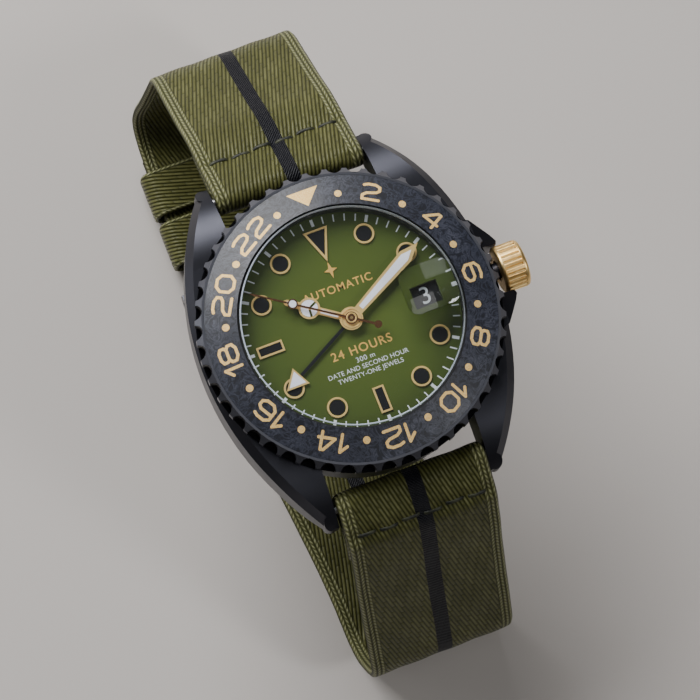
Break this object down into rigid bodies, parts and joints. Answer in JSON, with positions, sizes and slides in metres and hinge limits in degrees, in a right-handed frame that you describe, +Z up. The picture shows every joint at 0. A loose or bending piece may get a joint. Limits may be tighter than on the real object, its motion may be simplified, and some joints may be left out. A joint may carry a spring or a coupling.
{
  "type": "dive watch",
  "caption": "Diver's wristwatch with a rotating 24-hour bezel, date magnifier, four central hands, a fluted screw-down crown and a pin-buckle webbing strap, closed in a loop.",
  "frame": {"origin": "on the surface that the closed strap rests on, straight below the hands' common axis", "axes": "+Z up through the dial, +Y towards 12 o'clock, +X towards the crown at 3 o'clock"},
  "size_m": [0.0466, 0.0907, 0.0514],
  "materials": {
    "black_case": "matte black hard coating over steel, fine blasted grain",
    "rubber_seal": "black nitrile",
    "sapphire": "polished crystal",
    "rehaut_black": "satin black",
    "movement_ring": "turned",
    "spring_steel": "drawn wire finish",
    "dial_green": "olive sunburst lacquer",
    "gold_applied": "polished gold tone",
    "plot_black": "black luminous filling, unlit",
    "movement_plate": "rhodium plated, grained",
    "blued_screw": "heat blued",
    "ruby": "polished stone",
    "rotor_steel": "circular grained",
    "bezel_black": "matte black hard coating",
    "insert_carbon": "forged carbon composite, satin",
    "numeral_gold": "pale gold inlay",
    "train_brass": "gilt, circular grained",
    "train_steel": "snailed steel",
    "crown_gold": "polished gold tone",
    "hand_gold": "polished gold tone with white luminous filling",
    "gmt_hand_black": "black stem, gold edged white head",
    "date_white": "black ring printed white",
    "webbing": "olive ribbed nylon webbing with a black centre stripe",
    "buckle_steel": "matte black hard coating"
  },
  "bodies": {
    "case": {"case_middle": "black_case", "case_back": "black_case", "case_back_gasket": "rubber_seal", "crystal": "sapphire", "date_magnifier": "sapphire", "crystal_gasket": "rubber_seal", "rehaut_ring": "rehaut_black", "movement_holder": "movement_ring", "crown_tube": "black_case", "bezel_click_spring": "spring_steel", "dial": "dial_green", "hour_marker_frames": "gold_applied", "hour_marker_plots": "plot_black", "main_plate": "movement_plate", "train_bridge": "movement_plate", "balance_cock": "movement_plate", "movement_screws": "blued_screw", "jewel_bearings": "ruby", "rotor_bearing": "rotor_steel", "spring_bar_upper": "spring_steel", "spring_bar_lower": "spring_steel"},
    "bezel": {"bezel_ring": "bezel_black", "bezel_insert": "insert_carbon", "bezel_numerals": "numeral_gold"},
    "clutch": {"sliding_pinion": "train_steel", "winding_pinion": "train_steel"},
    "crown_group": {"crown": "crown_gold", "winding_stem": "train_steel", "crown_gasket": "rubber_seal"},
    "hour_group": {"hour_hand": "hand_gold", "hour_wheel": "train_brass"},
    "minute_group": {"minute_hand": "hand_gold", "cannon_pinion": "train_brass"},
    "seconds_group": {"seconds_hand": "hand_gold", "fourth_wheel": "train_brass"},
    "gmt_group": {"gmt_hand": "gmt_hand_black", "gmt_wheel": "train_brass"},
    "minute_wheel_group": {"minute_wheel": "train_brass"},
    "third_wheel_group": {"third_wheel": "train_brass"},
    "escape_wheel_group": {"escape_wheel": "train_brass"},
    "barrel_group": {"mainspring_barrel": "train_brass", "mainspring": "spring_steel"},
    "ratchet_group": {"ratchet_wheel": "train_steel"},
    "crown_wheel_group": {"crown_wheel": "train_steel"},
    "date_group": {"date_ring": "date_white"},
    "rotor": {"rotor_weight": "rotor_steel"},
    "balance": {"balance_wheel": "train_brass", "hairspring": "spring_steel"},
    "pallets": {"pallet_fork": "train_steel"},
    "upper_strap": {"strap_short": "webbing", "keeper_fixed": "webbing", "buckle_bar": "buckle_steel"},
    "sliding_keeper": {"keeper_sliding": "webbing"},
    "buckle": {"buckle_frame": "buckle_steel"},
    "tongue": {"buckle_tongue": "buckle_steel"},
    "lower_strap": {"strap_long": "webbing"},
    "bar_tip_upper_left": {"spring_bar_tip_upper_left": "spring_steel"},
    "bar_tip_upper_right": {"spring_bar_tip_upper_right": "spring_steel"},
    "bar_tip_lower_left": {"spring_bar_tip_lower_left": "spring_steel"},
    "bar_tip_lower_right": {"spring_bar_tip_lower_right": "spring_steel"}
  },
  "joints": [
    {"name": "bezel_turn", "type": "hinge", "parent": "case", "child": "bezel", "pos_m": [0, 0, 0.047], "axis": [0, 0, 1], "continuous": true},
    {"name": "winding_turn", "type": "hinge", "parent": "case", "child": "clutch", "pos_m": [0.01, 0, 0.0436], "axis": [1, 0, 0], "continuous": true},
    {"name": "crown_pull", "type": "slide", "parent": "clutch", "child": "crown_group", "axis": [1, 0, 0], "range_m": [0, 0.0022]},
    {"name": "minute_hand_turn", "type": "hinge", "parent": "case", "child": "minute_group", "pos_m": [0, 0, 0.047], "axis": [0, 0, 1], "continuous": true},
    {"name": "hour_hand_turn", "type": "hinge", "parent": "case", "child": "hour_group", "pos_m": [0, 0, 0.047], "axis": [0, 0, 1], "continuous": true},
    {"name": "gmt_hand_turn", "type": "hinge", "parent": "case", "child": "gmt_group", "pos_m": [0, 0, 0.047], "axis": [0, 0, 1], "continuous": true},
    {"name": "minute_wheel_turn", "type": "hinge", "parent": "case", "child": "minute_wheel_group", "pos_m": [-0.0015, 0.0026, 0.043], "axis": [0, 0, 1], "continuous": true},
    {"name": "seconds_hand_turn", "type": "hinge", "parent": "case", "child": "seconds_group", "pos_m": [0, 0, 0.047], "axis": [0, 0, 1], "continuous": true},
    {"name": "third_wheel_turn", "type": "hinge", "parent": "case", "child": "third_wheel_group", "pos_m": [-0.00395, -0.00144, 0.043], "axis": [0, 0, 1], "continuous": true},
    {"name": "barrel_turn", "type": "hinge", "parent": "case", "child": "barrel_group", "pos_m": [0.0031, 0.0054, 0.043], "axis": [0, 0, 1], "continuous": true, "deforming": ["mainspring"]},
    {"name": "escape_wheel_turn", "type": "hinge", "parent": "case", "child": "escape_wheel_group", "pos_m": [0.00278, -0.0033, 0.043], "axis": [0, 0, 1], "continuous": true},
    {"name": "crown_wheel_turn", "type": "hinge", "parent": "case", "child": "crown_wheel_group", "pos_m": [0.0078, 0, 0.043], "axis": [0, 0, 1], "continuous": true},
    {"name": "ratchet_wheel_turn", "type": "hinge", "parent": "case", "child": "ratchet_group", "pos_m": [0.0031, 0.0054, 0.043], "axis": [0, 0, 1], "continuous": true},
    {"name": "date_ring_turn", "type": "hinge", "parent": "case", "child": "date_group", "pos_m": [0, 0, 0.047], "axis": [0, 0, 1], "continuous": true},
    {"name": "rotor_turn", "type": "hinge", "parent": "case", "child": "rotor", "pos_m": [0, 0, 0.047], "axis": [0, 0, 1], "continuous": true},
    {"name": "balance_swing", "type": "hinge", "parent": "case", "child": "balance", "pos_m": [0.00619, -0.00735, 0.043], "axis": [0, 0, 1], "range_deg": [-270, 270], "stiffness_Nm_per_rad": 0.000000076, "deforming": ["hairspring"]},
    {"name": "pallet_rock", "type": "hinge", "parent": "case", "child": "pallets", "pos_m": [0.00426, -0.00506, 0.043], "axis": [0, 0, 1], "range_deg": [-5, 5]},
    {"name": "upper_strap_swing", "type": "hinge", "parent": "case", "child": "upper_strap", "pos_m": [0, 0.0227, 0.0424], "axis": [1, 0, 0], "range_deg": [0, 60], "deforming": ["strap_short", "strap_long", "keeper_fixed", "keeper_sliding"]},
    {"name": "lower_strap_swing", "type": "hinge", "parent": "case", "child": "lower_strap", "pos_m": [0, -0.0227, 0.0424], "axis": [-1, 0, 0], "range_deg": [0, 60]},
    {"name": "keeper_slide", "type": "slide", "parent": "upper_strap", "child": "sliding_keeper", "axis": [0, 1, 0], "range_m": [-0.0009, 0.0006]},
    {"name": "buckle_fold", "type": "hinge", "parent": "upper_strap", "child": "buckle", "pos_m": [-0.0026, 0.0185, 0.0036], "axis": [1, 0, 0], "range_deg": [0, 70]},
    {"name": "tongue_lift", "type": "hinge", "parent": "buckle", "child": "tongue", "pos_m": [-0.0026, 0.0185, 0.0036], "axis": [1, 0, 0], "range_deg": [0, 60]},
    {"name": "bar_tip_upper_left_press", "type": "slide", "parent": "case", "child": "bar_tip_upper_left", "axis": [1, 0, 0], "range_m": [0, 0.0009], "stiffness_N_per_m": 300},
    {"name": "bar_tip_upper_right_press", "type": "slide", "parent": "case", "child": "bar_tip_upper_right", "axis": [-1, 0, 0], "range_m": [0, 0.0009], "stiffness_N_per_m": 300},
    {"name": "bar_tip_lower_left_press", "type": "slide", "parent": "case", "child": "bar_tip_lower_left", "axis": [1, 0, 0], "range_m": [0, 0.0009], "stiffness_N_per_m": 300},
    {"name": "bar_tip_lower_right_press", "type": "slide", "parent": "case", "child": "bar_tip_lower_right", "axis": [-1, 0, 0], "range_m": [0, 0.0009], "stiffness_N_per_m": 300}
  ],
  "couplings": [
    {"joint": "hour_hand_turn", "follows": "minute_hand_turn", "ratio": 0.083333},
    {"joint": "gmt_hand_turn", "follows": "minute_hand_turn", "ratio": 0.041667},
    {"joint": "minute_wheel_turn", "follows": "minute_hand_turn", "ratio": -0.33333},
    {"joint": "seconds_hand_turn", "follows": "minute_hand_turn", "ratio": 60},
    {"joint": "third_wheel_turn", "follows": "minute_hand_turn", "ratio": -8},
    {"joint": "barrel_turn", "follows": "minute_hand_turn", "ratio": -0.14286},
    {"joint": "escape_wheel_turn", "follows": "minute_hand_turn", "ratio": -600},
    {"joint": "crown_wheel_turn", "follows": "winding_turn", "ratio": 0.58333},
    {"joint": "ratchet_wheel_turn", "follows": "winding_turn", "ratio": -0.29167}
  ]
}
